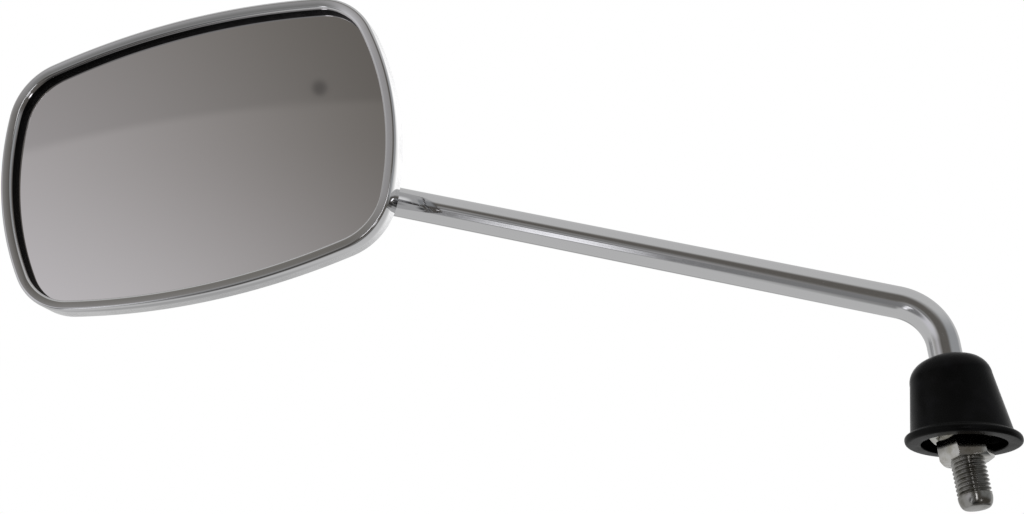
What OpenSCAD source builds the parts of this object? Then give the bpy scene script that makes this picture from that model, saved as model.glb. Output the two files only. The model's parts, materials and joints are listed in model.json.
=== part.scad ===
/* [Stud and adapter] */
// Diameter of the adapter's stud
stud_d = 10; // [8:0.5:12]
// Length of the stud below the hex
stud_length = 14; // [10:0.5:24]
// Chamfer at the tip of the stud
stud_chamfer = 1.4; // [0.5:0.1:2]
// Width of the adapter's hex across its flats
adapter_flats = 14; // [13:0.5:17]
// Height of the adapter's hex
adapter_hex_h = 7; // [5:0.5:10]
// Thickness of metal under the socket's floor, above the hex
socket_floor = 1; // [0.5:0.1:3]
// Wall of the adapter's threaded socket
socket_wall = 0.8; // [0.8:0.1:1.5]
// Radial gap between the rod's collar and the socket
swivel_fit = 0.2; // [0.1:0.05:0.4]
// Radial gap between the socket's thread and the lock nut
thread_fit = 0.05; // [0.02:0.01:0.1]
// Metal of the lock nut outside the thread, at the flats
lock_wall = 1.45; // [1.2:0.05:3]
// Thickness of the lock nut's top, over the washer
lock_top_t = 4; // [2:0.5:6]

/* [Swivel] */
// Thickness of each friction washer
washer_t = 1; // [0.5:0.1:2]
// How far the rod's collar stands out of the rod
collar_step = 1; // [0.8:0.1:2]
// Height of the rod's collar
collar_h = 3; // [2:0.5:6]
// Gap above and below the turning collar
swivel_play = 0.05; // [0.02:0.01:0.1]

/* [Rubber boot] */
// Height of the boot's mouth above the stud's shoulder
boot_lift = 5; // [3:0.5:8]
// Radial gap between the boot and the lock nut's corners
boot_gap = 0.45; // [0.3:0.05:1.5]
// Wall of the boot
boot_wall = 1.8; // [1.5:0.1:3]
// How much wider the boot gets from its shoulder to its foot
boot_flare = 2.75; // [1:0.05:4]
// How far the boot's bottom lip stands out
boot_lip = 2.6; // [1:0.1:4]
// Thickness of the boot's bottom lip
boot_lip_t = 2.2; // [1.5:0.1:3]
// Free height over the lock nut inside the boot
boot_headroom = 9.4; // [5.2:0.1:14]
// Length over which the boot grips the rod
boot_grip = 6; // [4:0.5:10]
// Radial gap between the boot and the rod
boot_fit = 0.05; // [0.01:0.01:0.1]
// Free travel of the boot up to the bend
boot_travel = 3.7; // [3.6:0.1:12]

/* [Arm] */
// Diameter of the rod
rod_d = 10; // [8:0.5:12]
// Radius of the bend, at the rod's axis
bend_r = 17.4; // [14:0.1:30]
// Angle through which the rod is bent
bend_angle = 67.1; // [45:0.1:85]
// Straight length from the bend to the middle of the ball
arm_length = 224; // [150:1:300]
// Diameter of the ball
ball_d = 18; // [16:0.5:20]
// Diameter of the rod's turned end, inside the ball
spigot_d = 7; // [5:0.5:8]

/* [Ball clamp] */
// Thickness of the two liners round the ball
liner_t = 1.1; // [0.8:0.1:2]
// Radial running gap on each side of a liner
liner_fit = 0.05; // [0.02:0.01:0.1]
// Distance of each liner's rim from the ball's middle plane
liner_gap = 2.5; // [2:0.1:4]
// Gap between the two halves of the clamp
split_gap = 1.4; // [0.8:0.1:2]
// Metal of the clamp outside the liners
clamp_wall = 4.8; // [4:0.1:6]
// Metal of the cap behind the ball
cap_wall = 2.8; // [2:0.1:4]
// Thickness of the cap at its screws
cap_boss_h = 6.8; // [5:0.1:8]
// Radius of each screw lug
boss_r = 6; // [5:0.1:8]
// Diameter of the clamp screws
screw_d = 5; // [4:0.5:6]
// Length of the clamp screws under the head
screw_length = 30; // [28:0.5:32]
// Radial gap round each clamp screw
screw_fit = 0.3; // [0.2:0.05:0.5]
// Thickness of the spring washers
spring_t = 1.3; // [1:0.1:1.6]
// Angle that the arm may swing inside the clamp's mouth
mouth_swing = 20; // [14:1:22]

/* [Head] */
// Width of the head
head_w = 143; // [130:1:160]
// Height of the head
head_h = 100.8; // [95:0.1:110]
// Radius of the long edges
long_edge_r = 263; // [200:1:400]
// Radius of the short edges
short_edge_r = 101; // [95:1:160]
// Radius of the corners
corner_r = 22.4; // [21:0.1:24]
// Depth of the chromed rim's skirt
skirt_depth = 8.2; // [7:0.1:10]
// Width of the rim's front face
rim_face_w = 3.7; // [3.4:0.1:5]
// Angle by which the rim's face slopes in towards the glass
rim_slope = 7; // [0:1:12]
// Radius of the rim's rolled edges, outside and inside
rim_edge_r = 0.9; // [0.8:0.1:1.3]
// Thickness of the rim's sheet
rim_t = 0.6; // [0.4:0.1:0.7]
// Depth of the rim's inner edge, where it presses on the gasket
lip_depth = 2.7; // [2.5:0.1:3.5]
// Width of the gasket's lip that shows inside the rim
lip_show = 0.15; // [0.05:0.05:1]
// Thickness of the gasket's front lip
gasket_t = 1.3; // [0.6:0.1:2]
// Thickness of the glass
glass_t = 2; // [1.5:0.1:3]
// Thickness of the fibre pad behind the glass
pad_t = 0.55; // [0.3:0.05:0.6]
// Thickness of the tray that carries the glass
tray_t = 1; // [0.8:0.1:1.2]
// Wall of the pressed housing
shell_t = 1; // [0.8:0.1:1.2]
// Depth of the housing's back, from the front of the rim
shell_depth = 14.5; // [14:0.1:18]
// Thickness of the plate inside the housing
backing_t = 1.5; // [1:0.1:2]
// Height of the weld nuts
weld_nut_h = 2.7; // [2:0.1:4]
// Distance of the ball's middle behind the front of the rim
ball_depth = 29.5; // [29:0.1:32]
// Distance of the ball from the middle of the head, towards the arm
ball_offset = 12; // [5:0.5:20]
// Diameter of the drain hole in the housing
drain_d = 3; // [2:0.5:5]

/* [Pose of the head] */
// Downward tilt of the glass
head_tilt = 6.2; // [-8:0.1:14]
// Turn of the glass towards the arm
head_turn = -0.4; // [-8:0.1:12]
// Roll of the glass in its own plane
head_roll = 1.9; // [-6:0.1:8]

/* [Hidden] */
$fn = 64;

// Heights along the stud's axis, from the seat of the hex
rod_r = rod_d / 2;
collar_r = rod_r + collar_step;
socket_r = collar_r + swivel_fit + socket_wall;
socket_z = adapter_hex_h + socket_floor;
collar_z = socket_z + washer_t + swivel_play;
upper_washer_z = collar_z + collar_h + swivel_play;
upper_washer_top = upper_washer_z + washer_t;
socket_top = upper_washer_top - 0.3;
lock_z = adapter_hex_h + 0.2;
lock_shoulder_z = upper_washer_top;
lock_top_z = lock_shoulder_z + lock_top_t;
lock_flats = 2 * (socket_r + thread_fit + lock_wall);
lock_corner_r = lock_flats / 2 / cos(30);
hex_edge = 0.8;
overlap = 0.5;
hex_turn = 13;
nut_turn = 13;
rod_hole_fit = 0.1;

// Heights and radii of the boot
cavity_h = lock_top_z + boot_headroom - boot_lift;
boot_h = cavity_h + boot_grip;
boot_shoulder_r = lock_corner_r + boot_gap + boot_wall;
boot_foot_r = boot_shoulder_r + boot_flare;
boot_lip_r = boot_foot_r + boot_lip;
boot_neck_r = rod_r + 1.8;
neck_rise = 1.2;
shoulder_round = 6.5;
lip_fillet = 1.2;
mouth_bead = 0.9;
cavity_bevel = 2.5;

// Path of the arm
bend_z = boot_lift + boot_h + boot_travel;
bend_end = [-bend_r * (1 - cos(bend_angle)), 0, bend_z + bend_r * sin(bend_angle)];
arm_dir = [-sin(bend_angle), 0, cos(bend_angle)];
ball_r = ball_d / 2;
ball_pos = bend_end + arm_length * arm_dir;
ball_flat = sqrt(ball_r * ball_r - rod_r * rod_r);
spigot_fit = 0.01;

// Turn of the head's own frame: X along its width, Y up its height, Z out of the glass
function about_x(a) = [[1, 0, 0], [0, cos(a), -sin(a)], [0, sin(a), cos(a)]];
function about_z(a) = [[cos(a), -sin(a), 0], [sin(a), cos(a), 0], [0, 0, 1]];
head_axes = about_z(head_turn) * about_x(90 + head_tilt) * about_z(head_roll);
arm_in_head = -arm_dir * head_axes;
mouth_angle = atan2(arm_in_head[1], arm_in_head[0]);

// Ball clamp, in the head's frame
cup_r = ball_r + 2 * liner_fit + liner_t;
clamp_r = cup_r + clamp_wall;
boss_reach = cup_r + screw_d / 2 + screw_fit + 2.3;
boss_angles = [mouth_angle + 76, mouth_angle + 180, mouth_angle - 76];
cap_face = ball_depth + split_gap / 2;
cap_boss_z = cap_face + cap_boss_h;
cap_r = cup_r + cap_wall;
screw_hole_r = screw_d / 2 + screw_fit;
screw_head_z = cap_boss_z + spring_t;
screw_head_r = 0.9 * screw_d;
screw_head_h = 0.66 * screw_d;
weld_nut_flats = 1.6 * screw_d;
tap_fit = 0.02;
washer_split = 0.6;
mouth_r = rod_r + 0.6;
mouth_length = 60;
plate_r = boss_reach + weld_nut_flats / 2 + 0.5;

// Outline of the head: four edges and four corners, each an arc tangent to its neighbours
half_w = head_w / 2;
half_h = head_h / 2;
long_c = half_h - long_edge_r;
short_c = half_w - short_edge_r;
long_reach = long_edge_r - corner_r;
short_reach = short_edge_r - corner_r;
centre_gap = norm([short_c, long_c]);
along = (long_reach ^ 2 - short_reach ^ 2 + centre_gap ^ 2) / (2 * centre_gap);
across = sqrt(long_reach ^ 2 - along ^ 2);
gap_dir = [short_c, -long_c] / centre_gap;
corner_c = [0, long_c] + along * gap_dir + across * [gap_dir[1], -gap_dir[0]];
long_a = atan2(corner_c[1] - long_c, corner_c[0]);
short_a = atan2(corner_c[1], corner_c[0] - short_c);
long_steps = 12;
short_steps = 10;
corner_steps = 9;

// Levels behind the front of the rim
seam = 0.1;
seat_gap = 0.05;
gasket_wall = 0.7;
lip_bevel = 0.2;
shell_tuck = 0.4;
shell_inset = rim_t + seam;
shell_inner_inset = shell_inset + shell_t;
gasket_inset = shell_inner_inset + seat_gap;
glass_inset = gasket_inset + gasket_wall;
lip_inset = rim_face_w + lip_show;
glass_front = lip_depth + gasket_t;
glass_back = glass_front + glass_t;
gasket_back = glass_back + pad_t + seat_gap;
joggle = 0.85;
crimp = 0.6;
dome_steps = 7;
dome_inset = 21.2;
dome_blunt = 2.4;
dome_spacing = 1.6;
drain_rise = 6;
plate_front = shell_depth - shell_t - backing_t;
window_r = plate_r + 1;

function arc(c, r, from, to, steps) =
  [for (i = [0 : steps - 1]) let(a = from + (to - from) * i / steps) c + r * [cos(a), sin(a)]];

function outline(inset) = concat(
  arc([short_c, 0], short_edge_r - inset, -short_a, short_a, short_steps),
  arc(corner_c, corner_r - inset, short_a, long_a, corner_steps),
  arc([0, long_c], long_edge_r - inset, long_a, 180 - long_a, long_steps),
  arc([-corner_c[0], corner_c[1]], corner_r - inset, 180 - long_a, 180 - short_a, corner_steps),
  arc([-short_c, 0], short_edge_r - inset, 180 - short_a, 180 + short_a, short_steps),
  arc(-corner_c, corner_r - inset, 180 + short_a, 180 + long_a, corner_steps),
  arc([0, -long_c], long_edge_r - inset, 180 + long_a, 360 - long_a, long_steps),
  arc([corner_c[0], -corner_c[1]], corner_r - inset, 360 - long_a, 360 - short_a, corner_steps)
);

// Points of a section [inset, level], carried round the outline
function ring_points(section) =
  [for (s = section) for (p = outline(s[0])) [p[0], p[1], -s[1]]];

function band(a, b, n) =
  [for (i = [0 : n - 1]) let(j = (i + 1) % n) [a * n + i, b * n + i, b * n + j, a * n + j]];

// Solid with a closed section all round the head
module around_head(section) {
  n = len(outline(0));
  m = len(section);
  faces = [for (k = [0 : m - 1]) each band(k, (k + 1) % m, n)];
  polyhedron(points = ring_points(section), faces = faces, convexity = 6);
}

// Solid dish whose section runs from its open edge to its flat floor, with a skin on each side
module dish(outer, inner) {
  n = len(outline(0));
  section = concat(outer, inner);
  m = len(section);
  k = len(outer);
  sides = [for (i = [0 : m - 1]) if (i != k - 1) each band(i, (i + 1) % m, n)];
  floor_out = [for (i = [0 : n - 1]) (k - 1) * n + i];
  floor_in = [for (i = [0 : n - 1]) k * n + (n - 1 - i)];
  polyhedron(points = ring_points(section), faces = concat(sides, [floor_out, floor_in]), convexity = 6);
}

module on_head() {
  translate(ball_pos)
    rotate([0, 0, head_turn])
      rotate([90 + head_tilt, 0, 0])
        rotate([0, 0, head_roll])
          translate([-ball_offset, 0, ball_depth])
            children();
}

module on_ball() {
  translate([ball_offset, 0, 0])
    children();
}

// Places a thing with its +Z along the arm and its origin in the middle of the ball
module on_arm() {
  translate(ball_pos)
    rotate([0, -bend_angle, 0])
      children();
}

module at_bosses() {
  for (a = boss_angles) {
    on_ball()
      rotate([0, 0, a])
        translate([boss_reach, 0, 0])
          children();
  }
}

// Both halves of the clamp: a disc with three lugs, drilled for the screws
module clamp_block(front, back) {
  on_ball()
    translate([0, 0, -back])
      linear_extrude(back - front)
        difference() {
          union() {
            circle(r = clamp_r);
            for (a = boss_angles) {
              rotate(a)
                translate([boss_reach, 0])
                  circle(r = boss_r);
            }
          }
          for (a = boss_angles) {
            rotate(a)
              translate([boss_reach, 0])
                circle(r = screw_hole_r);
          }
        }
}

module cup() {
  on_ball()
    translate([0, 0, -ball_depth])
      sphere(r = cup_r);
}

module plate(inset, front, back) {
  translate([0, 0, -back])
    linear_extrude(back - front)
      polygon(outline(inset));
}

// Space in which the rod swings, opening towards the bend
module mouth() {
  on_arm()
    rotate([180, 0, 0])
      cylinder(h = mouth_length, r1 = mouth_r, r2 = mouth_r + mouth_length * tan(mouth_swing));
}

module hex_prism(flats, z0, z1) {
  intersection() {
    translate([0, 0, z0])
      cylinder(h = z1 - z0, r = flats / 2 / cos(30), $fn = 6);
    rotate_extrude()
      polygon([
        [0, z0], [flats / 2, z0], [flats / 2 + 2 * hex_edge, z0 + hex_edge],
        [flats / 2 + 2 * hex_edge, z1 - hex_edge], [flats / 2, z1], [0, z1]
      ]);
  }
}

module ring(r_out, r_in, z0, h) {
  translate([0, 0, z0])
    difference() {
      cylinder(h = h, r = r_out);
      translate([0, 0, -1])
        cylinder(h = h + 2, r = r_in);
    }
}

module stem_adapter() {
  color("silver")
    difference() {
      union() {
        rotate_extrude()
          polygon([
            [0, -stud_length], [stud_d / 2 - stud_chamfer, -stud_length],
            [stud_d / 2, stud_chamfer - stud_length], [stud_d / 2, overlap], [0, overlap]
          ]);
        rotate([0, 0, hex_turn])
          hex_prism(adapter_flats, 0, adapter_hex_h);
        translate([0, 0, adapter_hex_h - overlap])
          cylinder(h = socket_top - adapter_hex_h + overlap, r = socket_r);
      }
      translate([0, 0, socket_z])
        cylinder(h = socket_top, r = collar_r + swivel_fit);
    }
}

module lower_washer() {
  color("ivory")
    ring(collar_r, rod_r / 2, socket_z, washer_t);
}

module upper_washer() {
  color("ivory")
    ring(collar_r + swivel_fit / 2, rod_r + rod_hole_fit, upper_washer_z, washer_t);
}

module lock_nut() {
  color("silver")
    difference() {
      rotate([0, 0, nut_turn])
        hex_prism(lock_flats, lock_z, lock_top_z);
      translate([0, 0, lock_z - 1])
        cylinder(h = lock_shoulder_z - lock_z + 1, r = socket_r + thread_fit);
      translate([0, 0, lock_z])
        cylinder(h = lock_top_z, r = rod_r + rod_hole_fit);
    }
}

module rubber_boot() {
  shoulder_c = [boot_shoulder_r - shoulder_round, boot_h - neck_rise - shoulder_round];
  inner_foot = boot_foot_r - boot_wall;
  inner_shoulder = boot_shoulder_r - boot_wall;
  color("#141414")
    translate([0, 0, boot_lift])
      difference() {
        rotate_extrude()
          difference() {
            union() {
              polygon(concat(
                [
                  [rod_r + boot_fit, 0], [boot_lip_r - boot_lip_t / 2, 0],
                  [boot_lip_r - boot_lip_t / 2, boot_lip_t], [boot_foot_r, boot_lip_t + lip_fillet]
                ],
                arc(shoulder_c, shoulder_round, 0, 96, 6),
                [[boot_neck_r, boot_h], [rod_r + boot_fit, boot_h]]
              ));
              translate([boot_lip_r - boot_lip_t / 2, boot_lip_t / 2])
                circle(r = boot_lip_t / 2);
            }
            polygon([
              [0, -1], [inner_foot - mouth_bead, -1], [inner_foot - mouth_bead, 0],
              [inner_foot, cavity_bevel], [inner_shoulder, cavity_h - cavity_bevel],
              [inner_shoulder - cavity_bevel, cavity_h], [0, cavity_h]
            ]);
          }
      }
}

module arm_rod() {
  color("#d8d8dc")
    union() {
      translate([0, 0, collar_z])
        cylinder(h = collar_h, r = collar_r);
      translate([0, 0, collar_z])
        cylinder(h = bend_z - collar_z, r = rod_r);
      translate([-bend_r, 0, bend_z])
        rotate([90, 0, 0])
          rotate_extrude(angle = bend_angle)
            translate([bend_r, 0])
              circle(r = rod_r);
      translate(bend_end)
        rotate([0, -bend_angle, 0])
          cylinder(h = arm_length - ball_flat, r = rod_r);
      on_arm()
        translate([0, 0, -ball_flat - 1])
          cylinder(h = 2 * ball_flat + 1, r = spigot_d / 2);
    }
}

module arm_ball() {
  color("silver")
    on_arm()
      intersection() {
        difference() {
          sphere(r = ball_r);
          translate([0, 0, -ball_r])
            cylinder(h = ball_d, r = spigot_d / 2 + spigot_fit);
        }
        translate([0, 0, -ball_flat])
          cylinder(h = 2 * ball_flat, r = ball_d);
      }
}

// Spherical cup round the ball, on the side of the glass or on the back
module liner(side) {
  difference() {
    on_head()
      on_ball()
        intersection() {
          translate([0, 0, -ball_depth])
            difference() {
              sphere(r = cup_r - liner_fit);
              sphere(r = ball_r + liner_fit);
            }
          translate([0, 0, -ball_depth + side * (liner_gap + ball_d)])
            cube([2 * ball_d, 2 * ball_d, 2 * ball_d], center = true);
        }
    mouth();
  }
}

module front_liner() {
  color("ivory")
    liner(1);
}

module rear_liner() {
  color("ivory")
    liner(-1);
}

module socket_base() {
  color("#b8b8bc")
    difference() {
      on_head()
        difference() {
          clamp_block(shell_depth, ball_depth - split_gap / 2);
          cup();
        }
      mouth();
    }
}

module socket_cap() {
  color("#d8d8dc")
    difference() {
      on_head()
        difference() {
          union() {
            clamp_block(cap_face, cap_boss_z);
            on_ball()
              intersection() {
                translate([0, 0, -ball_depth])
                  sphere(r = cap_r);
                translate([0, 0, -cap_face - ball_d])
                  cylinder(h = ball_d, r = ball_d);
              }
          }
          cup();
        }
      mouth();
    }
}

module clamp_screws() {
  color("silver")
    on_head()
      at_bosses()
        difference() {
          union() {
            translate([0, 0, -screw_head_z - screw_head_h])
              cylinder(h = screw_head_h, r1 = screw_head_r * 0.8, r2 = screw_head_r);
            translate([0, 0, -screw_head_z])
              cylinder(h = screw_length, r = screw_d / 2);
          }
          for (a = [0, 90]) {
            rotate([0, 0, a])
              translate([0, 0, -screw_head_z - screw_head_h])
                cube([screw_head_r, screw_head_r / 5, screw_head_h], center = true);
          }
        }
}

module spring_washers() {
  color("gray")
    on_head()
      at_bosses()
        translate([0, 0, -screw_head_z])
          difference() {
            cylinder(h = spring_t, r = screw_head_r);
            translate([0, 0, -1])
              cylinder(h = spring_t + 2, r = screw_hole_r);
            rotate([30, 0, 0])
              translate([screw_head_r / 2, 0, 0])
                cube([screw_head_r, washer_split, 4 * spring_t], center = true);
          }
}

module weld_nuts() {
  color("gray")
    on_head()
      at_bosses()
        translate([0, 0, -plate_front])
          difference() {
            hex_prism(weld_nut_flats, 0, weld_nut_h);
            translate([0, 0, -1])
              cylinder(h = weld_nut_h + 2, r = screw_d / 2 + tap_fit);
          }
}

module backing_plate() {
  color("gray")
    on_head()
      difference() {
        on_ball()
          translate([0, 0, -plate_front - backing_t])
            cylinder(h = backing_t, r = plate_r);
        at_bosses()
          translate([0, 0, -plate_front - backing_t - 1])
            cylinder(h = backing_t + 2, r = screw_hole_r);
      }
}

// Level of the housing's skin at a share of the way in from its edge
function dome(share, edge, depth) =
  edge + (depth - edge) * (1 - (1 - share) ^ dome_blunt) ^ (1 / dome_blunt);

function dome_section(inset, edge, depth) = [
  for (i = [1 : dome_steps])
    let(share = (i / dome_steps) ^ dome_spacing)
      [inset + (dome_inset - inset) * share, dome(share, edge, depth)]
];

module housing_shell() {
  edge = lip_depth - shell_tuck;
  step = skirt_depth + crimp;
  inner_step = step - shell_tuck;
  outer = concat(
    [[shell_inset, edge], [shell_inset, step - joggle], [shell_inset + joggle, step]],
    dome_section(shell_inset + joggle, step, shell_depth)
  );
  inner = concat(
    [
      [shell_inner_inset, edge], [shell_inner_inset, inner_step - joggle],
      [shell_inner_inset + joggle, inner_step]
    ],
    dome_section(shell_inner_inset + joggle, inner_step, shell_depth - shell_t)
  );
  color("#c8c8cc")
    on_head()
      difference() {
        dish(outer, [for (i = [len(inner) - 1 : -1 : 0]) inner[i]]);
        at_bosses()
          translate([0, 0, -shell_depth - 1])
            cylinder(h = shell_t + 2, r = screw_hole_r);
        translate([0, drain_rise - half_h + skirt_depth, -shell_depth - 1])
          cylinder(h = shell_depth, r = drain_d / 2);
      }
}

module rim_bezel() {
  roll_c = rim_face_w - rim_edge_r;
  roll_z = rim_edge_r + (roll_c - rim_edge_r) * tan(rim_slope);
  turns = [for (i = [0 : 3]) (90 + rim_slope) * i / 3];
  back_turns = [for (i = [0 : 2]) (90 - rim_slope) * i / 2];
  inner_r = rim_edge_r - rim_t;
  outside = concat(
    [for (a = turns) [rim_edge_r - rim_edge_r * cos(a), rim_edge_r - rim_edge_r * sin(a)]],
    [
      for (a = back_turns)
        [roll_c + rim_edge_r * sin(a + rim_slope), roll_z - rim_edge_r * cos(a + rim_slope)]
    ]
  );
  inside = concat(
    [for (a = [90, rim_slope]) [roll_c + inner_r * sin(a), roll_z - inner_r * cos(a)]],
    [for (a = [90 + rim_slope, 0]) [rim_edge_r - inner_r * cos(a), rim_edge_r - inner_r * sin(a)]]
  );
  color("#d8d8dc")
    on_head()
      around_head(concat(
        [[0, skirt_depth]], outside,
        [[rim_face_w, lip_depth], [rim_face_w - rim_t, lip_depth]], inside,
        [
          [rim_t, skirt_depth - seam], [rim_t + crimp, skirt_depth + crimp - seam],
          [joggle, skirt_depth + joggle]
        ]
      ));
}

module glass_gasket() {
  color("#101010")
    on_head()
      around_head([
        [gasket_inset, gasket_back], [gasket_inset, lip_depth], [lip_inset - lip_bevel, lip_depth],
        [lip_inset, lip_depth + lip_bevel], [lip_inset, glass_front], [glass_inset, glass_front],
        [glass_inset, glass_back], [lip_inset, glass_back], [lip_inset, gasket_back]
      ]);
}

module mirror_glass() {
  color("#a8a8ac")
    on_head()
      plate(glass_inset, glass_front, glass_back);
}

module backing_pad() {
  color("dimgray")
    on_head()
      plate(lip_inset + seam, glass_back, glass_back + pad_t);
}

module glass_tray() {
  color("#202020")
    on_head()
      difference() {
        plate(gasket_inset, gasket_back, gasket_back + tray_t);
        on_ball()
          translate([0, 0, -shell_depth])
            cylinder(h = shell_depth, r = window_r);
      }
}

stem_adapter();
lower_washer();
upper_washer();
lock_nut();
rubber_boot();
arm_rod();
arm_ball();
front_liner();
rear_liner();
socket_base();
socket_cap();
clamp_screws();
spring_washers();
weld_nuts();
backing_plate();
housing_shell();
rim_bezel();
glass_gasket();
mirror_glass();
backing_pad();
glass_tray();
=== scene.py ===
# %% [markdown]
# A mirror for a motorbike: an oblong chromed head, a bent round arm, a rubber boot and a threaded stem.
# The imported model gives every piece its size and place. This file makes the surfaces that a camera
# sees: sheet metal with rolled edges, a drawn rod, moulded rubber and a cut thread.

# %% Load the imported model
import json
import math

import bmesh
import bpy
from mathutils import Matrix, Vector


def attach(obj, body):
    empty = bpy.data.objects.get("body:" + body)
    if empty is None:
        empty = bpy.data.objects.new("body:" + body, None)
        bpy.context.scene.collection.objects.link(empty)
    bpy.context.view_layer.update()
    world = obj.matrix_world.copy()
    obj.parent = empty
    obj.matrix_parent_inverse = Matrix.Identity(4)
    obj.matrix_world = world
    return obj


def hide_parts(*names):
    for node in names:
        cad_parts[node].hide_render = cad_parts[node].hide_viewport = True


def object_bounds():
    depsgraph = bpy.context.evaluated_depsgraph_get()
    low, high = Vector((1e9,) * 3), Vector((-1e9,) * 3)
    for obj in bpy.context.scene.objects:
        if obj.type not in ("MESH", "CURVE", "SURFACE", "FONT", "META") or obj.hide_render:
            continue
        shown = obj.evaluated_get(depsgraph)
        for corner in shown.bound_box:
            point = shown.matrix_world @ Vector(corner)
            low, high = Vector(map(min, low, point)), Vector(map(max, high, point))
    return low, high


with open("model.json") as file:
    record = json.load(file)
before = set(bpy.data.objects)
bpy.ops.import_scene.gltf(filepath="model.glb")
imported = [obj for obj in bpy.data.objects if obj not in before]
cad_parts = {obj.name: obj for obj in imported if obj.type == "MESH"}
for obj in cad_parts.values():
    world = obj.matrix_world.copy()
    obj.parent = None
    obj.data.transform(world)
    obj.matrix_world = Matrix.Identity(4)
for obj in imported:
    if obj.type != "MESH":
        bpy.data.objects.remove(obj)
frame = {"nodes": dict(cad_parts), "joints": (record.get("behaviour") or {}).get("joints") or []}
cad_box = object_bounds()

# %% [markdown]
# Sizes are in millimetres, as on a drawing, and one factor turns them to metres. The head has its own
# frame, with x along its width, y up its height and z out of the glass. Its three hinges in the
# record give those directions and the middle of the ball.

# %% Units and the head's own frame
MM = 0.001
hinges = {joint["name"]: joint for joint in frame["joints"]}
ball_middle = Vector(hinges["head_turn"]["pos_m"])
head_x = Vector(hinges["head_tilt"]["axis"])
head_y = Vector(hinges["head_turn"]["axis"])
head_z = Vector(hinges["head_roll"]["axis"])
ball_offset = 12
ball_depth = 29.5
head_turned = Matrix((head_x, head_y, head_z)).transposed().to_4x4()
head_place = (
    Matrix.Translation(ball_middle)
    @ head_turned
    @ Matrix.Translation(Vector((-ball_offset, 0, ball_depth)) * MM)
    @ Matrix.Scale(MM, 4)
)
row_place = Matrix.Scale(MM, 4)
print("head's front plane, in mm:", [round(v / MM, 1) for v in head_place.translation])

# %% [markdown]
# Most pieces of a mirror start as a section with rounded corners, pressed or turned. A bevel could
# round them afterwards, but it fails where a wall is thinner than its width. So each radius is drawn
# in the section, as a toolmaker draws it.

# %% Sections
def arc_points(centre, radius, start, stop, steps):
    """Points on an arc, in degrees, with both ends."""
    angles = [math.radians(start + (stop - start) * i / steps) for i in range(steps + 1)]
    return [Vector((centre[0] + radius * math.cos(a), centre[1] + radius * math.sin(a))) for a in angles]


def rounded(corners, steps=6, closed=True):
    """A path through corners (x, y, radius), each rounded by an arc tangent to both of its sides."""
    path = []
    for i, (x, y, radius) in enumerate(corners):
        here = Vector((x, y))
        if radius == 0 or (not closed and i in (0, len(corners) - 1)):
            path.append(here)
            continue
        before = Vector(corners[i - 1][:2])
        after = Vector(corners[(i + 1) % len(corners)][:2])
        to_before, to_after = (before - here).normalized(), (after - here).normalized()
        half = to_before.angle(to_after) / 2
        reach = radius / math.tan(half)
        middle = here + (to_before + to_after).normalized() * radius / math.sin(half)
        first, last = here + to_before * reach - middle, here + to_after * reach - middle
        turn = first.angle_signed(last)
        for k in range(steps + 1):
            angle = -turn * k / steps
            path.append(middle + Matrix.Rotation(angle, 2) @ first)
    return path


# %% [markdown]
# A section is then carried round an axis or round the head. A curve with a bevel object could do
# that, but it twists at tight corners. Rings of points give even faces, which chrome needs, since it
# shows each dent. Every finished mesh is mended, set smooth with its sharp edges kept, and linked.

# %% Meshes
def in_scene(name, data):
    """A new object with the given data, linked to the scene."""
    thing = bpy.data.objects.new(name, data)
    bpy.context.scene.collection.objects.link(thing)
    return thing


def mend(mesh):
    """Joins points that meet, drops loose edges and turns every face outwards."""
    edit = bmesh.new()
    edit.from_mesh(mesh)
    bmesh.ops.remove_doubles(edit, verts=edit.verts, dist=1e-7)
    loose = [edge for edge in edit.edges if not edge.link_faces]
    bmesh.ops.delete(edit, geom=loose, context="EDGES")
    bmesh.ops.recalc_face_normals(edit, faces=edit.faces)
    edit.to_mesh(mesh)
    edit.free()


def keep_mesh(name, mesh, material, place, sharp=40):
    """Puts a finished mesh in the scene, smooth but for edges sharper than the given angle."""
    mesh.transform(place)
    mend(mesh)
    mesh.shade_smooth()
    mesh.set_sharp_from_angle(angle=math.radians(sharp))
    mesh.materials.clear()
    mesh.materials.append(material)
    return in_scene(name, mesh)


def rings_mesh(name, rings, loop=True, cap_first=False, cap_last=False):
    """A mesh through rings of points. loop joins the last ring to the first; a cap closes an end."""
    count = len(rings[0])
    points = [tuple(p) for ring in rings for p in ring]
    faces = []
    for k in range(len(rings) if loop else len(rings) - 1):
        a, b = k * count, (k + 1) % len(rings) * count
        faces += [(a + i, a + (i + 1) % count, b + (i + 1) % count, b + i) for i in range(count)]
    if cap_first:
        faces.append(tuple(range(count - 1, -1, -1)))
    if cap_last:
        faces.append(tuple(range((len(rings) - 1) * count, len(rings) * count)))
    mesh = bpy.data.meshes.new(name)
    mesh.from_pydata(points, [], faces)
    return mesh


def lathe_mesh(name, section, steps=96):
    """A section of points (radius, height), turned round the z axis. A radius of 0 closes at a pole."""
    turns = [math.tau * i / steps for i in range(steps)]
    rings = [[(r * math.cos(a), r * math.sin(a), z) for a in turns] for r, z in section]
    return rings_mesh(name, rings)


# %% [markdown]
# Holes, the clamp's mouth and the corners of a hex are cut by tools, as on a machine. A boolean
# modifier does the same to a closed mesh. The result is read back at once as a plain mesh, so that
# no modifier is left on a piece.

# %% Cutting
def applied(host):
    """The plain mesh that an object's modifiers make. The object itself goes."""
    bpy.context.view_layer.update()
    graph = bpy.context.evaluated_depsgraph_get()
    result = bpy.data.meshes.new_from_object(host.evaluated_get(graph))
    bpy.data.objects.remove(host)
    return result


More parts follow.
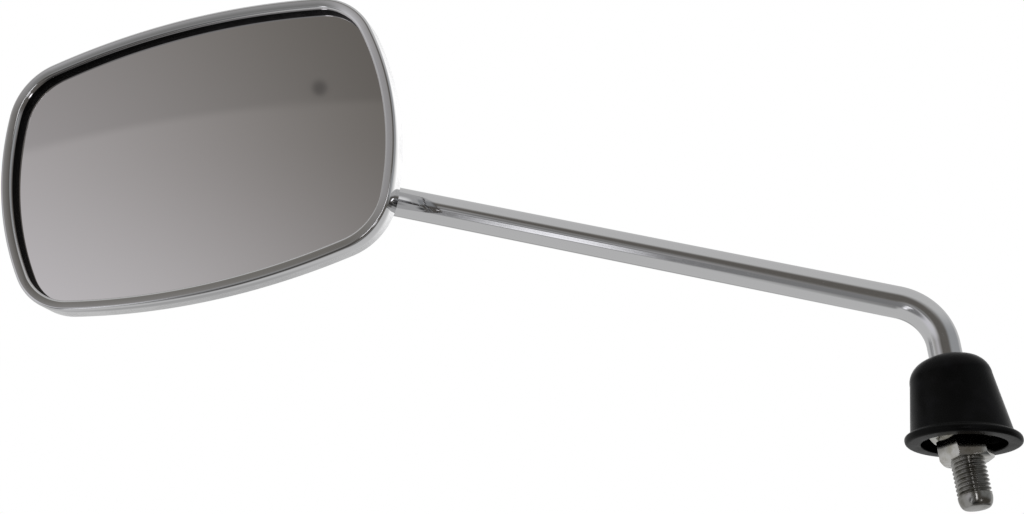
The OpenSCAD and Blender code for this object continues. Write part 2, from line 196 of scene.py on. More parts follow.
def cut(mesh, cutters, operation="DIFFERENCE"):
    """Cuts a mesh with others, in the same place and units, and returns the plain result."""
    host = in_scene("host", mesh)
    tools = [in_scene("tool", cutter) for cutter in cutters]
    for tool in tools:
        modifier = host.modifiers.new("cut", "BOOLEAN")
        modifier.operation, modifier.solver, modifier.object = operation, "EXACT", tool
    result = applied(host)
    for tool in tools:
        bpy.data.objects.remove(tool)
    return result


# %% [markdown]
# Colours are written as the hex values of a colour picker and turned to linear light. One helper adds
# any node: it makes the settings, and fills the inputs, in their order or by name, with a value, a
# socket or the first output of another node. So a material reads as a list of what it is made of. A
# Mix node takes two colours at its inputs 6 and 7 and gives the mixed one at its output 2.

# %% Colours and nodes
def linear(hex_colour):
    """A colour picker's value in linear light, as the shader wants it."""
    parts = [int(hex_colour[i:i + 2], 16) / 255 for i in (1, 3, 5)]
    return [p / 12.92 if p <= 0.04045 else ((p + 0.055) / 1.055) ** 2.4 for p in parts] + [1]


def fill(socket, value):
    """Gives an input a value, or a link from a socket or from a node's first output."""
    if isinstance(value, bpy.types.Node):
        value = value.outputs[0]
    if isinstance(value, bpy.types.NodeSocket):
        socket.id_data.links.new(value, socket)
    else:
        socket.default_value = value


def add(tree, kind, inputs=(), **settings):
    """Adds a node with its settings. Its inputs are a list, in their order, or a dict."""
    node = tree.nodes.new(kind)
    for key, value in settings.items():
        setattr(node, key, value)
    rows = inputs.items() if isinstance(inputs, dict) else enumerate(inputs)
    for key, value in rows:
        fill(node.inputs[key], value)
    return node


soft = {"interpolation_type": "SMOOTHSTEP"}


def start_material(name, colour, metallic=0.0, roughness=0.5, ior=1.5):
    """A material with its one shader, and the object's own coordinates in millimetres."""
    material = bpy.data.materials.new(name)
    material.use_nodes = True
    tree = material.node_tree
    shader = tree.nodes["Principled BSDF"]
    constants = {"Base Color": linear(colour), "Metallic": metallic, "Roughness": roughness, "IOR": ior}
    for socket, value in constants.items():
        shader.inputs[socket].default_value = value
    where = add(tree, "ShaderNodeTexCoord").outputs["Object"]
    in_mm = add(tree, "ShaderNodeVectorMath", {0: where, "Scale": 1 / MM}, operation="SCALE")
    return material, tree, shader, in_mm


# %% [markdown]
# Chrome plate is a bright metal with a cold tint. Buffing leaves it smooth, with a faint waviness and
# hair-fine lines along the way the wheel ran. Its look comes from what it mirrors, so the colour
# stays plain and only the roughness and a very small bump vary. The real lines are finer than a
# pixel, so they are drawn 0.4 mm apart.

# %% Chrome
line_mm, line_depth_mm = 0.4, 0.0006


def chrome(name, colour, roughness, haze_mm, line_stretch):
    """Buffed chrome plate: a cloudy haze of the given size, and buffing lines, stretched or not."""
    material, tree, shader, where = start_material(name, colour, metallic=1.0)
    haze = add(tree, "ShaderNodeTexNoise", {"Vector": where, "Scale": 1 / haze_mm, "Detail": 4.0})
    stretched = add(tree, "ShaderNodeMapping", {"Vector": where, "Scale": line_stretch})
    lines = add(tree, "ShaderNodeTexNoise", {"Vector": stretched, "Scale": 1 / line_mm, "Detail": 3.0})
    both = add(tree, "ShaderNodeMath", [haze, lines], operation="ADD")
    rough = add(tree, "ShaderNodeMapRange", [both, 0.7, 1.3, roughness * 0.7, roughness * 1.4], **soft)
    fill(shader.inputs["Roughness"], rough)
    inputs = {"Height": lines, "Distance": line_depth_mm * MM, "Strength": 1.0}
    fill(shader.inputs["Normal"], add(tree, "ShaderNodeBump", inputs))
    return material


rim_chrome = chrome("chrome_on_pressed_rim", "#dcdcdd", 0.05, 9.0, (1, 1, 1))
housing_chrome = chrome("chrome_on_pressed_housing", "#dadadb", 0.06, 14.0, (1, 1, 1))
rod_chrome = chrome("chrome_on_drawn_rod", "#dadadb", 0.07, 8.0, (0.15, 1, 0.3))
clamp_chrome = chrome("chrome_on_die_cast_zinc", "#d6d6d7", 0.08, 4.0, (1, 1, 1))
print("chrome plates:", rim_chrome.name, housing_chrome.name, rod_chrome.name, clamp_chrome.name)

# %% [markdown]
# Mirror glass is flat float glass with silver on its back. Clear glass over a silver sheet would copy
# that, but its second image is too faint to see here. So it is one plain mirror, a little warmer than
# chrome, with almost no roughness. Dust gives the eye a faint veil, a slow change of the roughness.

# %% Mirror glass
def silvered_glass(dust_mm=30):
    """Silvered float glass with a thin, cloudy film of dust."""
    material, tree, shader, where = start_material("silvered_float_glass", "#e9e6e6", 1.0, 0.02)
    dust = add(tree, "ShaderNodeTexNoise", {"Vector": where, "Scale": 1 / dust_mm, "Detail": 5.0})
    rough = add(tree, "ShaderNodeMapRange", [dust, 0.3, 0.8, 0.008, 0.035], **soft)
    fill(shader.inputs["Roughness"], rough)
    return material


glass_silver = silvered_glass()
print("glass:", glass_silver.name)

# %% [markdown]
# The boot is natural rubber pressed in a blasted mould. It is black, with a soft sheen where light
# grazes it, a fine grain from the mould, and a little grey bloom where hands have rubbed it. A low
# specular level keeps it as deep a black as the photograph shows.

# %% Rubber
def rubber(name, colour, bloom_colour, roughness, grain_mm, bloom_mm=6):
    """Black rubber with the mould's grain, and clouds of a paler bloom."""
    material, tree, shader, where = start_material(name, colour, 0.0, roughness, 1.52)
    shader.inputs["Specular IOR Level"].default_value = 0.07
    grain = add(tree, "ShaderNodeTexNoise", {"Vector": where, "Scale": 1 / grain_mm, "Detail": 2.0})
    bloom = add(tree, "ShaderNodeTexNoise", {"Vector": where, "Scale": 1 / bloom_mm, "Detail": 4.0})
    share = add(tree, "ShaderNodeMapRange", [bloom, 0.45, 0.75], **soft)
    inputs = {0: share, 6: linear(colour), 7: linear(bloom_colour)}
    mixed = add(tree, "ShaderNodeMix", inputs, data_type="RGBA").outputs[2]
    inputs = [bloom, 0.3, 0.7, roughness * 0.85, roughness * 1.15]
    rough = add(tree, "ShaderNodeMapRange", inputs, **soft)
    inputs = {"Height": grain, "Distance": 0.02 * MM, "Strength": 1.0}
    fill(shader.inputs["Base Color"], mixed)
    fill(shader.inputs["Roughness"], rough)
    fill(shader.inputs["Normal"], add(tree, "ShaderNodeBump", inputs))
    return material


boot_rubber = rubber("moulded_black_rubber", "#040404", "#080809", 0.3, 0.35)
gasket_rubber = rubber("extruded_black_rubber", "#020202", "#040404", 0.5, 0.4)
print("rubbers:", boot_rubber.name, gasket_rubber.name)

# %% [markdown]
# The stem, the nuts and the screws are turned steel with a thin bright zinc plate. Zinc is duller
# than chrome and slightly warm, and the tool's rings show through it. A wave of the height z makes
# the rings, and a little noise keeps them from looking ruled.

# %% Zinc plate
def plated(name, colour, tint, roughness, ring_mm, ring_depth_mm, cloud_mm=3):
    """Turned and plated steel: rings of the tool round z, and clouds of a second tint."""
    material, tree, shader, where = start_material(name, colour, metallic=1.0)
    height = add(tree, "ShaderNodeSeparateXYZ", [where]).outputs["Z"]
    clouds = add(tree, "ShaderNodeTexNoise", {"Vector": where, "Scale": 1 / cloud_mm, "Detail": 4.0})
    wobble = add(tree, "ShaderNodeMath", [clouds, ring_mm, height], operation="MULTIPLY_ADD")
    phase = add(tree, "ShaderNodeMath", [wobble, math.tau / ring_mm], operation="MULTIPLY")
    rings = add(tree, "ShaderNodeMath", [phase], operation="SINE")
    share = add(tree, "ShaderNodeMapRange", [clouds, 0.4, 0.7], **soft)
    inputs = {0: share, 6: linear(colour), 7: linear(tint)}
    mixed = add(tree, "ShaderNodeMix", inputs, data_type="RGBA").outputs[2]
    rough = add(tree, "ShaderNodeMapRange", [clouds, 0.3, 0.7, roughness * 0.8, roughness * 1.2], **soft)
    inputs = {"Height": rings, "Distance": ring_depth_mm * MM, "Strength": 1.0}
    fill(shader.inputs["Base Color"], mixed)
    fill(shader.inputs["Roughness"], rough)
    fill(shader.inputs["Normal"], add(tree, "ShaderNodeBump", inputs))
    return material


stem_zinc = plated("zinc_plated_turned_steel", "#cfcecb", "#b4b1a8", 0.12, 3.0, 0.0015)
thread_zinc = plated("zinc_plated_cut_thread", "#a09f9c", "#84827c", 0.15, 3.0, 0.0015)
nut_zinc = plated("zinc_plated_hex_nut", "#c6c5c0", "#b0ada4", 0.16, 3.0, 0.0015)
screw_zinc = plated("zinc_plated_screw", "#b4b4b2", "#a2a09a", 0.18, 2.0, 0.001)
print("zinc plates:", stem_zinc.name, thread_zinc.name, nut_zinc.name, screw_zinc.name)

# %% [markdown]
# The inner pieces get the finishes of their own makers: pickled steel sheet, a ground ball, nylon,
# pressed fibre and black plastic. Each shows one grain of its own size, so one material with a grain,
# a second tint and a small bump serves them all, and only its values change.

# %% The inner materials
def speckled(name, colour, tint, roughness, grain_mm, depth_mm, metallic=0.0):
    """A moulded, blasted or felted surface, with a grain of one size and a second tint."""
    material, tree, shader, where = start_material(name, colour, metallic, roughness)
    grain = add(tree, "ShaderNodeTexNoise", {"Vector": where, "Scale": 1 / grain_mm, "Detail": 3.0})
    share = add(tree, "ShaderNodeMapRange", [grain, 0.4, 0.65], **soft)
    inputs = {0: share, 6: linear(colour), 7: linear(tint)}
    mixed = add(tree, "ShaderNodeMix", inputs, data_type="RGBA").outputs[2]
    inputs = {"Height": grain, "Distance": depth_mm * MM, "Strength": 1.0}
    fill(shader.inputs["Base Color"], mixed)
    fill(shader.inputs["Normal"], add(tree, "ShaderNodeBump", inputs))
    return material


plain_steel = speckled("pickled_steel", "#7c7c7e", "#6a6866", 0.45, 1.5, 0.004, 1.0)
ball_steel = speckled("ground_steel_ball", "#c2c2c6", "#b6b6ba", 0.12, 3.0, 0.001, 1.0)
nylon = speckled("natural_nylon", "#dcd8cc", "#d2cdbf", 0.45, 2.0, 0.01)
fibre = speckled("pressed_fibre_sheet", "#5b5854", "#4b4946", 0.85, 0.6, 0.05)
tray_plastic = speckled("black_moulded_plastic", "#161617", "#1c1c1d", 0.5, 0.8, 0.01)
print("inner finishes:", plain_steel.name, ball_steel.name, nylon.name, fibre.name, tray_plastic.name)

# %% [markdown]
# The head's outline is a barrel: two long arcs, two short arcs and four round corners, each tangent
# to the next. A bevelled box would have straight sides. Any inset of these arcs has the same centres
# and smaller radii, so the rim, the gasket and the housing nest in each other as pressed parts do.

# %% The head's outline
half_w, half_h = 71.5, 50.4
long_edge_r, short_edge_r, corner_r = 263.0, 101.0, 22.4
long_c, short_c = half_h - long_edge_r, half_w - short_edge_r
long_reach, short_reach = long_edge_r - corner_r, short_edge_r - corner_r
between = math.hypot(short_c, long_c)
along = (long_reach ** 2 - short_reach ** 2 + between ** 2) / (2 * between)
across = math.sqrt(long_reach ** 2 - along ** 2)
toward = Vector((short_c, -long_c)) / between
corner_c = Vector((0, long_c)) + along * toward + across * Vector((toward.y, -toward.x))
long_a = math.degrees(math.atan2(corner_c.y - long_c, corner_c.x))
short_a = math.degrees(math.atan2(corner_c.y, corner_c.x - short_c))

outline_arcs = [
    ((short_c, 0), short_edge_r, -short_a, short_a, 40),
    (corner_c, corner_r, short_a, long_a, 28),
    ((0, long_c), long_edge_r, long_a, 180 - long_a, 56),
    ((-corner_c.x, corner_c.y), corner_r, 180 - long_a, 180 - short_a, 28),
    ((-short_c, 0), short_edge_r, 180 - short_a, 180 + short_a, 40),
    ((-corner_c.x, -corner_c.y), corner_r, 180 + short_a, 180 + long_a, 28),
    ((0, -long_c), long_edge_r, 180 + long_a, 360 - long_a, 56),
    ((corner_c.x, -corner_c.y), corner_r, 360 - long_a, 360 - short_a, 28),
]


def outline(inset):
    """The closed outline, moved in by an inset in millimetres."""
    points = []
    for centre, radius, start, stop, steps in outline_arcs:
        points += arc_points(centre, radius - inset, start, stop, steps)[:-1]
    return points


def around_head(name, section):
    """A closed section of points (inset, depth behind the rim's front), carried round the outline."""
    rings = [[(p.x, p.y, -depth) for p in outline(inset)] for inset, depth in section]
    return rings_mesh(name, rings)


print("points round the head:", len(outline(0)))

# %% [markdown]
# The rim is one strip of sheet steel, drawn to a frame with a straight skirt. Its front is a narrow
# face between two rolled edges, leaning in towards the glass, and its back edge is pressed in over
# the housing. The gasket is a rubber channel that clips on the glass; only its front lip shows. Both
# are one closed section carried round the outline, so the sheet keeps one thickness everywhere.

# %% Rim and gasket
rim_t, rim_face_w, rim_edge_r, rim_slope = 0.6, 3.7, 0.9, 7.0
skirt_depth, crimp, joggle, seam = 8.2, 0.6, 0.85, 0.1
lip_depth, lip_show, gasket_t, shell_t = 1.8, 0.15, 2.2, 1.0
shell_inset = rim_t + seam
gasket_inset = shell_inset + shell_t + 0.05
glass_inset = gasket_inset + 0.7
lip_inset = rim_face_w + lip_show
glass_front = lip_depth + gasket_t
glass_back = glass_front + 2.0
gasket_back = glass_back + 0.6

roll_inset = rim_face_w - rim_edge_r
roll_depth = rim_edge_r + (roll_inset - rim_edge_r) * math.tan(math.radians(rim_slope))
outer_roll, inner_roll = (rim_edge_r, rim_edge_r), (roll_inset, roll_depth)
face_turn, under_r = 270 + rim_slope, rim_edge_r - rim_t
rim_section = (
    [Vector((0, skirt_depth))]
    + arc_points(outer_roll, rim_edge_r, 180, face_turn, 14)
    + arc_points(inner_roll, rim_edge_r, face_turn, 360, 12)
    + [Vector((rim_face_w, lip_depth)), Vector((rim_face_w - rim_t, lip_depth))]
    + arc_points(inner_roll, under_r, 360, face_turn, 4)
    + arc_points(outer_roll, under_r, face_turn, 180, 4)
    + [
        Vector((rim_t, skirt_depth - seam)), Vector((rim_t + crimp, skirt_depth + crimp - seam)),
        Vector((joggle, skirt_depth + joggle)),
    ]
)
buffed_off = 0.05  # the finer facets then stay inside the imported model's box
rim_section = [p + Vector((buffed_off, buffed_off / 2)) for p in rim_section]
rim = keep_mesh("rim_bezel_rolled", around_head("rim", rim_section), rim_chrome, head_place, 50)

gasket_section = rounded([
    (gasket_inset, gasket_back, 0), (gasket_inset, lip_depth, 0), (lip_inset, lip_depth, 0.12),
    (lip_inset, glass_front, 0), (glass_inset, glass_front, 0), (glass_inset, glass_back, 0),
    (lip_inset, glass_back, 0), (lip_inset, gasket_back, 0),
], 4)
gasket = keep_mesh("glass_gasket_lip", around_head("gasket", gasket_section), gasket_rubber, head_place)
print("rim faces:", len(rim.data.polygons), " gasket faces:", len(gasket.data.polygons))

# %% [markdown]
# The housing is a deep pressing. Its wall steps in behind the rim's crimp, then runs over in one
# round sweep to a flat back that carries the clamp. A subdivided cage could bulge like that, but
# a formula for a blunt round, a superellipse, gives the sweep its even curve without a dent. A small
# drain hole lets rain out at the bottom.

# %% Housing
dome_inset, shell_depth, blunt, dome_steps, crowding = 21.2, 14.5, 2.4, 28, 1.8
wall_ahead, inner_step = 0.4, 0.4


def dome(start_inset, edge_depth, floor_depth):
    """The sweep from the housing's step to its flat back, with its rings crowded near the step."""
    points = []
    for i in range(dome_steps + 1):
        share = (i / dome_steps) ** crowding
        depth = edge_depth + (floor_depth - edge_depth) * (1 - (1 - share) ** blunt) ** (1 / blunt)
        points.append(Vector((start_inset + (dome_inset - start_inset) * share, depth)))
    return points


def shell_skin(inset, step, floor_depth):
    """One skin of the housing: the wall inside the rim, the step under the crimp, and the sweep."""
    wall = [Vector((inset, lip_depth - wall_ahead)), Vector((inset, step - joggle))]
    return wall + dome(inset + joggle, step, floor_depth)


outer_skin = shell_skin(shell_inset, skirt_depth + crimp, shell_depth)
inner_skin = shell_skin(shell_inset + shell_t, skirt_depth + crimp - inner_step, shell_depth - shell_t)
shell_path = outer_skin[::-1] + inner_skin
shell_rings = [[(p.x, p.y, -depth) for p in outline(inset)] for inset, depth in shell_path]
shell_mesh = rings_mesh("housing", shell_rings, loop=False, cap_first=True, cap_last=True)

drain_r, drain_y = 1.5, 6 - half_h + skirt_depth
drain_low, drain_high = -shell_depth - 2, -5
drain_section = [(0, drain_low), (drain_r, drain_low), (drain_r, drain_high), (0, drain_high)]
drain = lathe_mesh("drain", drain_section, 32)
drain.transform(Matrix.Translation((0, drain_y, 0)))
shell_mesh = cut(shell_mesh, [drain])
housing = keep_mesh("housing_shell_pressed", shell_mesh, housing_chrome, head_place, 50)
print("housing faces:", len(housing.data.polygons))

# %% [markdown]
# Some pieces follow a rule: a rod along a path, a groove that climbs, a screw set three times. For
# these a node tree with named sizes is better than a fixed mesh, since another size is one number.
# Every tree ends the same way, and runs once to a plain mesh.

# %% Geometry Nodes helpers
def start_tree(name, inputs):
    """A geometry tree with named number inputs and one geometry output."""
    tree = bpy.data.node_groups.new(name, "GeometryNodeTree")
    for label in inputs:
        tree.interface.new_socket(label, in_out="INPUT", socket_type="NodeSocketFloat")
    tree.interface.new_socket("Geometry", in_out="OUTPUT", socket_type="NodeSocketGeometry")
    return tree, add(tree, "NodeGroupInput").outputs


def end_tree(tree, geometry, material):
    """Ends a tree: makes instances real and gives it its material."""
    real = add(tree, "GeometryNodeRealizeInstances", {0: geometry})
    finished = add(tree, "GeometryNodeSetMaterial", {0: real.outputs[0], "Material": material})
    add(tree, "NodeGroupOutput", {0: finished.outputs[0]})


def run_tree(name, tree, values):
    """Runs a tree once with its inputs set, and returns the plain mesh that it made."""
    host = in_scene(name, bpy.data.meshes.new(name))
    modifier = host.modifiers.new("grow", "NODES")
    modifier.node_group = tree
    for item in tree.interface.items_tree:
        if item.in_out == "INPUT":
            modifier[item.identifier] = float(values[item.name])
    return applied(host)


# %% [markdown]
# The arm is one drawn rod, bent once in a former, so its shape is a path and a circle. Geometry Nodes
# make it: a line of three points, a fillet at the bend, and the circle carried along. Extruding a
# circle by hand would make the same rod, but the tree would make an arm of any length or bend.

# %% Arm
rod_r, bend_r, bend_angle, arm_length = 5.0, 17.4, 67.1, 224.0
foot_z, bend_z, ball_r = 9.05, 36.2, 9.0
collar_r, collar_h, spigot_r = 6.0, 3.0, 3.5
ball_flat = math.sqrt(ball_r ** 2 - rod_r ** 2)


def arm_tree():
    """A rod along a line of three points with a fillet at the middle one."""
    tree, sizes = start_tree("bent_rod", ["Radius", "Bend radius", "Foot", "Corner", "End x", "End z"])
    line = add(tree, "GeometryNodeMeshLine", {"Count": 3})
    index = add(tree, "GeometryNodeInputIndex")
    corner = add(tree, "ShaderNodeCombineXYZ", {"Z": sizes["Corner"]})
    foot = add(tree, "ShaderNodeCombineXYZ", {"Z": sizes["Foot"]})
    end = add(tree, "ShaderNodeCombineXYZ", {"X": sizes["End x"], "Z": sizes["End z"]})
    first = add(tree, "FunctionNodeCompare", {"A": index, "B": 0.5}, operation="LESS_THAN")
    last = add(tree, "FunctionNodeCompare", {"A": index, "B": 1.5}, operation="GREATER_THAN")
    inputs = {"Switch": first, "False": corner, "True": foot}
    low = add(tree, "GeometryNodeSwitch", inputs, input_type="VECTOR")
    inputs = {"Switch": last, "False": low, "True": end}
    place = add(tree, "GeometryNodeSwitch", inputs, input_type="VECTOR")
    placed = add(tree, "GeometryNodeSetPosition", {0: line, "Position": place})
    path = add(tree, "GeometryNodeMeshToCurve", [placed])
    inputs = {0: path, "Radius": sizes["Bend radius"], "Limit Radius": False, "Count": 48}
    fillet = add(tree, "GeometryNodeFilletCurve", inputs, mode="POLY")
    circle = add(tree, "GeometryNodeCurvePrimitiveCircle", {"Resolution": 96, "Radius": sizes["Radius"]})
    tube = add(tree, "GeometryNodeCurveToMesh", {0: fillet, 1: circle, "Fill Caps": True})
    end_tree(tree, tube, rod_chrome)
    return tree


bend_turn = math.radians(bend_angle)
lean = Vector((-math.sin(bend_turn), 0, math.cos(bend_turn)))
corner_z = bend_z + bend_r * math.tan(bend_turn / 2)
bend_end = Vector((-bend_r * (1 - math.cos(bend_turn)), 0, bend_z + bend_r * math.sin(bend_turn)))
shoulder = bend_end + lean * (arm_length - ball_flat)
ball_at = bend_end + lean * arm_length
arm_sizes = {
    "Radius": rod_r, "Bend radius": bend_r, "Foot": foot_z, "Corner": corner_z,
    "End x": shoulder.x, "End z": shoulder.z,
}
arm = keep_mesh("arm_rod_drawn", run_tree("arm", arm_tree(), arm_sizes), rod_chrome, row_place)
print("arm's faces:", len(arm.data.polygons), " ball at", [round(v, 1) for v in ball_at])

# %% [markdown]
# The boot is a bell of moulded rubber. A lathe section with generous rounds gives the soft shoulder,
# the thin neck that grips the rod and the lip that stands out at the foot. Rubber doesn't sit square:
# the lip hangs lower on the side away from the head. A cloth simulation is more than that needs, so
# the lower half is sheared that way, point by point.

# %% Boot
boot_bore_r, boot_top, boot_bottom, boot_lip_r, boot_lip_top = 5.05, 31.7, 5.0, 16.6, 7.3
shoulder_middle, shoulder_round, shoulder_end = (5.565, 24.8), 6.5, 78
shoulder_start = shoulder_middle[0] + shoulder_round
boot_inside_and_lip = rounded([
    (boot_bore_r, boot_top, 0), (boot_bore_r, 26.5, 0.2), (7.8, 26.5, 0.8), (10.3, 24, 1),
    (12.8, 7.5, 0.5), (12.1, boot_bottom, 0.3), (boot_lip_r, boot_bottom, 1.1),
    (boot_lip_r, boot_lip_top, 1.1), (14.7, boot_lip_top + 0.45, 0.8),
    (shoulder_start, shoulder_middle[1], 0),
], 8, closed=False)
boot_shoulder = arc_points(shoulder_middle, shoulder_round, 0, shoulder_end, 20)[1:]
boot_neck = rounded([
    tuple(boot_shoulder[-1]) + (0,), (5.9, boot_top, 0.5), (boot_bore_r, boot_top, 0),
], 6, closed=False)
boot_mesh = lathe_mesh("boot", boot_inside_and_lip + boot_shoulder + boot_neck[1:-1], 128)
hang_x, hang_y, hang_from, hang_to = 0.14, -0.037, 25.0, 8.0
for point in boot_mesh.vertices:
    share = min(max((hang_from - point.co.z) / (hang_from - hang_to), 0), 1)
    share = share * share * (3 - 2 * share)
    point.co.z -= share * (hang_x * point.co.x + hang_y * point.co.y)
boot = keep_mesh("rubber_boot_moulded", boot_mesh, boot_rubber, row_place, 60)
print("boot faces:", len(boot.data.polygons))

# %% [markdown]
# The stem is turned from hex bar, and its thread is cut or rolled. A bump could fake a thread, but
# the eye reads its teeth at the outline, so it is real geometry: Geometry Nodes take a fine cylinder
# and press the groove into it, deeper by a wave that climbs one pitch in each turn. A real thread
# starts and ends in a run-out, so the groove fades at the hex and before the round point.

# %% Thread
def thread_tree():
    """A closed cylinder whose wall is pressed in by a spiral groove, with a rounded point."""
    names = ["Radius", "Pitch", "Depth", "Top", "Bottom", "Chamfer", "Point"]
    tree, sizes = start_tree("cut_thread", names)
    inputs = {"Vertices": 128, "Side Segments": 260, "Radius": 1.0, "Depth": 1.0}
    body = add(tree, "GeometryNodeMeshCylinder", inputs)
    position = add(tree, "GeometryNodeInputPosition")
    x, y, z = add(tree, "ShaderNodeSeparateXYZ", [position]).outputs

    # where a point is: its level on the stud, and how many turns of the spiral lie under it
    height = add(tree, "ShaderNodeMath", [sizes["Top"], sizes["Bottom"]], operation="SUBTRACT")
    share_up = add(tree, "ShaderNodeMath", [z, 0.5], operation="ADD")
    level = add(tree, "ShaderNodeMath", [share_up, height, sizes["Bottom"]], operation="MULTIPLY_ADD")
    angle = add(tree, "ShaderNodeMath", [y, x], operation="ARCTAN2")
    pitches = add(tree, "ShaderNodeMath", [level, sizes["Pitch"]], operation="DIVIDE")
    turned = add(tree, "ShaderNodeMath", [angle, math.tau], operation="DIVIDE")
    turns = add(tree, "ShaderNodeMath", [pitches, turned], operation="SUBTRACT")
    wave = add(tree, "ShaderNodeMath", [turns, 0.5], operation="PINGPONG")
    flank = add(tree, "ShaderNodeMapRange", [wave, 0.06, 0.46])

    # the groove, faded out at both ends
    to_tip = add(tree, "ShaderNodeMath", [level, sizes["Bottom"]], operation="SUBTRACT")
    to_top = add(tree, "ShaderNodeMath", [sizes["Top"], level], operation="SUBTRACT")
    past_point = add(tree, "ShaderNodeMath", [to_tip, sizes["Point"]], operation="SUBTRACT")
    top_run = add(tree, "ShaderNodeMapRange", [to_top, 0.0, 1.2], **soft)
    tip_run = add(tree, "ShaderNodeMapRange", [past_point, 0.0, 0.7], **soft)
    in_run = add(tree, "ShaderNodeMath", [top_run, tip_run], operation="MULTIPLY")
    full_groove = add(tree, "ShaderNodeMath", [flank, sizes["Depth"]], operation="MULTIPLY")
    groove = add(tree, "ShaderNodeMath", [full_groove, in_run], operation="MULTIPLY")
    threaded = add(tree, "ShaderNodeMath", [sizes["Radius"], groove], operation="SUBTRACT")

    # the round point: a quarter of a blunt ellipse
    in_point = add(tree, "ShaderNodeMath", [to_tip, sizes["Point"]], operation="MINIMUM")
    share = add(tree, "ShaderNodeMath", [in_point, sizes["Point"]], operation="DIVIDE")
    rest = add(tree, "ShaderNodeMath", [2.0, share], operation="SUBTRACT")
    squared = add(tree, "ShaderNodeMath", [share, rest], operation="MULTIPLY")
    bulge = add(tree, "ShaderNodeMath", [squared], operation="SQRT")
    end_r = add(tree, "ShaderNodeMath", [sizes["Radius"], sizes["Chamfer"]], operation="SUBTRACT")
    pointed = add(tree, "ShaderNodeMath", [bulge, sizes["Chamfer"], end_r], operation="MULTIPLY_ADD")

    radius = add(tree, "ShaderNodeMath", [threaded, pointed], operation="MINIMUM")
    new_x = add(tree, "ShaderNodeMath", [x, radius], operation="MULTIPLY")
    new_y = add(tree, "ShaderNodeMath", [y, radius], operation="MULTIPLY")
    place = add(tree, "ShaderNodeCombineXYZ", [new_x, new_y, level])
    pressed = add(tree, "GeometryNodeSetPosition", {0: body, "Position": place})
    end_tree(tree, pressed, thread_zinc)
    return tree


stud_length, thread_pitch = 14.0, 1.25
thread_sizes = {
    "Radius": 4.95, "Pitch": thread_pitch, "Depth": 0.75, "Top": 0.4, "Bottom": -stud_length,
    "Chamfer": 1.6, "Point": 3.4,
}
stud_mesh = run_tree("stud", thread_tree(), thread_sizes)
stud = keep_mesh("stem_adapter_thread", stud_mesh, thread_zinc, row_place, 60)
print("thread faces:", len(stud.data.polygons))

# %% [markdown]
# A hex is bar stock whose corners the lathe has rounded off. A six-sided cylinder alone looks cut
# from paper, so it is made as the shop does it: a prism of six flats, met by a turned blank with
# sloped ends. A small bevel catches the light on its edges. The socket under the arm is turned too.

# %% Hex and socket
def hex_mesh(name, flats, low, high, turn, slope=0.55):
    """A hex prism whose corners are turned off at both ends."""
    past = 0.5  # the prism is longer than the blank, so that no two faces lie in one plane
    corner = flats / math.sqrt(3)
    turns = [math.radians(turn + 60 * i) for i in range(6)]
    ends = (low - past, high + past)
    rings = [[(corner * math.cos(a), corner * math.sin(a), z) for a in turns] for z in ends]
    prism = rings_mesh(name, rings, loop=False, cap_first=True, cap_last=True)
    print(name, "is", flats, "mm across its flats")
    end_r, wide_r = flats / 2 - 0.1, flats / 2 + 2
    drop = 2 * slope
    blank = [(0, low), (end_r, low), (wide_r, low + drop), (wide_r, high - drop), (end_r, high), (0, high)]
    return cut(prism, [lathe_mesh("blank", blank, 96)], "INTERSECT")


def bevelled(mesh, width, angle=35):
    """Rounds the sharp edges of a mesh by a small bevel."""
    host = in_scene("host", mesh)
    modifier = host.modifiers.new("bevel", "BEVEL")
    modifier.width, modifier.segments, modifier.angle_limit = width, 2, math.radians(angle)
    return applied(host)


adapter_flats, adapter_h, hex_turn = 14.0, 7.0, 13.0
hex_blank = bevelled(hex_mesh("hex", adapter_flats, 0, adapter_h, hex_turn), 0.15)
adapter_hex = keep_mesh("stem_adapter_hex", hex_blank, stem_zinc, row_place, 30)
socket_r, socket_bore_r, socket_low, socket_floor, socket_top = 7.0, 6.2, 6.9, 8.0, 12.8
socket_section = rounded([
    (0, socket_floor, 0), (socket_bore_r, socket_floor, 0.1), (socket_bore_r, socket_top, 0.1),
    (socket_r, socket_top, 0.15), (socket_r, socket_low, 0), (0, socket_low, 0),
], 3, closed=False)
adapter_socket = keep_mesh("stem_adapter_socket", lathe_mesh("socket", socket_section), stem_zinc, row_place)

# %% [markdown]
# The ball clamp is two die castings: a base on the housing and a domed cap, with three lugs each and a
# mouth through which the arm leaves. Joined cylinders would meet in sharp creases that no mould can
# cast, so the outline blends each lug into the disc by a hollow round.

# %% Clamp outline
arm_in_head = Vector((-lean.dot(head_x), -lean.dot(head_y), -lean.dot(head_z)))
mouth_angle = math.degrees(math.atan2(arm_in_head.y, arm_in_head.x))
cup_r, clamp_wall, cap_wall, split_gap = 10.2, 4.8, 2.8, 1.4
clamp_r, lug_r, lug_reach, lug_step, first_lug, blend_r = cup_r + clamp_wall, 6.0, 15.3, 104.0, 76.0, 3.0


